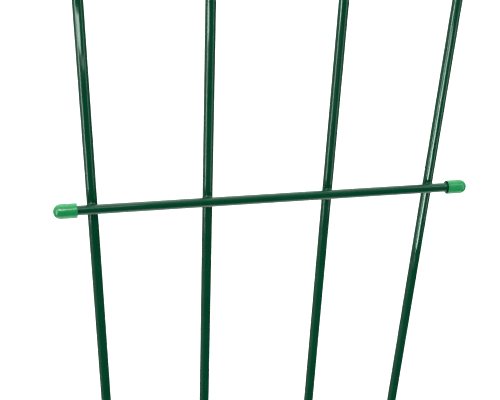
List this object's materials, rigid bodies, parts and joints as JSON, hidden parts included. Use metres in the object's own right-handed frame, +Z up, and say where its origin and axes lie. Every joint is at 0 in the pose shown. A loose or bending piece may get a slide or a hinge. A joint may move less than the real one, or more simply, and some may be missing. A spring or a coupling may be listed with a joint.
{
  "type": "garden trellis arch",
  "caption": "Flat garden trellis of two nested arched tubes with welded crossbars and push-on end caps; its pointed legs push into soil.",
  "frame": {"origin": "on the ground line, midway between the legs, in the plane of the legs' axes", "axes": "+Z up along the trellis, +X to the right along the crossbars, -Y to the front, where the crossbars are"},
  "size_m": [0.3954, 0.0186, 1.4998],
  "materials": {
    "coated_steel": "glossy dark-green coat over steel tube",
    "cap_plastic": "glossy light-green moulded plastic"
  },
  "bodies": {
    "frame": {"outer_arch": "coated_steel", "inner_arch": "coated_steel", "crossbar_1": "coated_steel", "crossbar_2": "coated_steel", "crossbar_3": "coated_steel", "crossbar_4": "coated_steel", "crossbar_5": "coated_steel", "welds_1": "coated_steel", "welds_2": "coated_steel", "welds_3": "coated_steel", "welds_4": "coated_steel", "welds_5": "coated_steel", "outer_tip_left": "cap_plastic", "outer_tip_right": "cap_plastic", "inner_tip_left": "cap_plastic", "inner_tip_right": "cap_plastic"},
    "cap_1_left": {"cap_1_left": "cap_plastic"},
    "cap_1_right": {"cap_1_right": "cap_plastic"},
    "cap_2_left": {"cap_2_left": "cap_plastic"},
    "cap_2_right": {"cap_2_right": "cap_plastic"},
    "cap_3_left": {"cap_3_left": "cap_plastic"},
    "cap_3_right": {"cap_3_right": "cap_plastic"},
    "cap_4_left": {"cap_4_left": "cap_plastic"},
    "cap_4_right": {"cap_4_right": "cap_plastic"},
    "cap_5_left": {"cap_5_left": "cap_plastic"},
    "cap_5_right": {"cap_5_right": "cap_plastic"}
  },
  "joints": [
    {"name": "cap_1_left_pull", "type": "slide", "parent": "frame", "child": "cap_1_left", "axis": [-1, 0, 0], "range_m": [0, 0.02]},
    {"name": "cap_1_right_pull", "type": "slide", "parent": "frame", "child": "cap_1_right", "axis": [1, 0, 0], "range_m": [0, 0.02]},
    {"name": "cap_2_left_pull", "type": "slide", "parent": "frame", "child": "cap_2_left", "axis": [-1, 0, 0], "range_m": [0, 0.02]},
    {"name": "cap_2_right_pull", "type": "slide", "parent": "frame", "child": "cap_2_right", "axis": [1, 0, 0], "range_m": [0, 0.02]},
    {"name": "cap_3_left_pull", "type": "slide", "parent": "frame", "child": "cap_3_left", "axis": [-1, 0, 0], "range_m": [0, 0.02]},
    {"name": "cap_3_right_pull", "type": "slide", "parent": "frame", "child": "cap_3_right", "axis": [1, 0, 0], "range_m": [0, 0.02]},
    {"name": "cap_4_left_pull", "type": "slide", "parent": "frame", "child": "cap_4_left", "axis": [-1, 0, 0], "range_m": [0, 0.02]},
    {"name": "cap_4_right_pull", "type": "slide", "parent": "frame", "child": "cap_4_right", "axis": [1, 0, 0], "range_m": [0, 0.02]},
    {"name": "cap_5_left_pull", "type": "slide", "parent": "frame", "child": "cap_5_left", "axis": [-1, 0, 0], "range_m": [0, 0.02]},
    {"name": "cap_5_right_pull", "type": "slide", "parent": "frame", "child": "cap_5_right", "axis": [1, 0, 0], "range_m": [0, 0.02]}
  ]
}
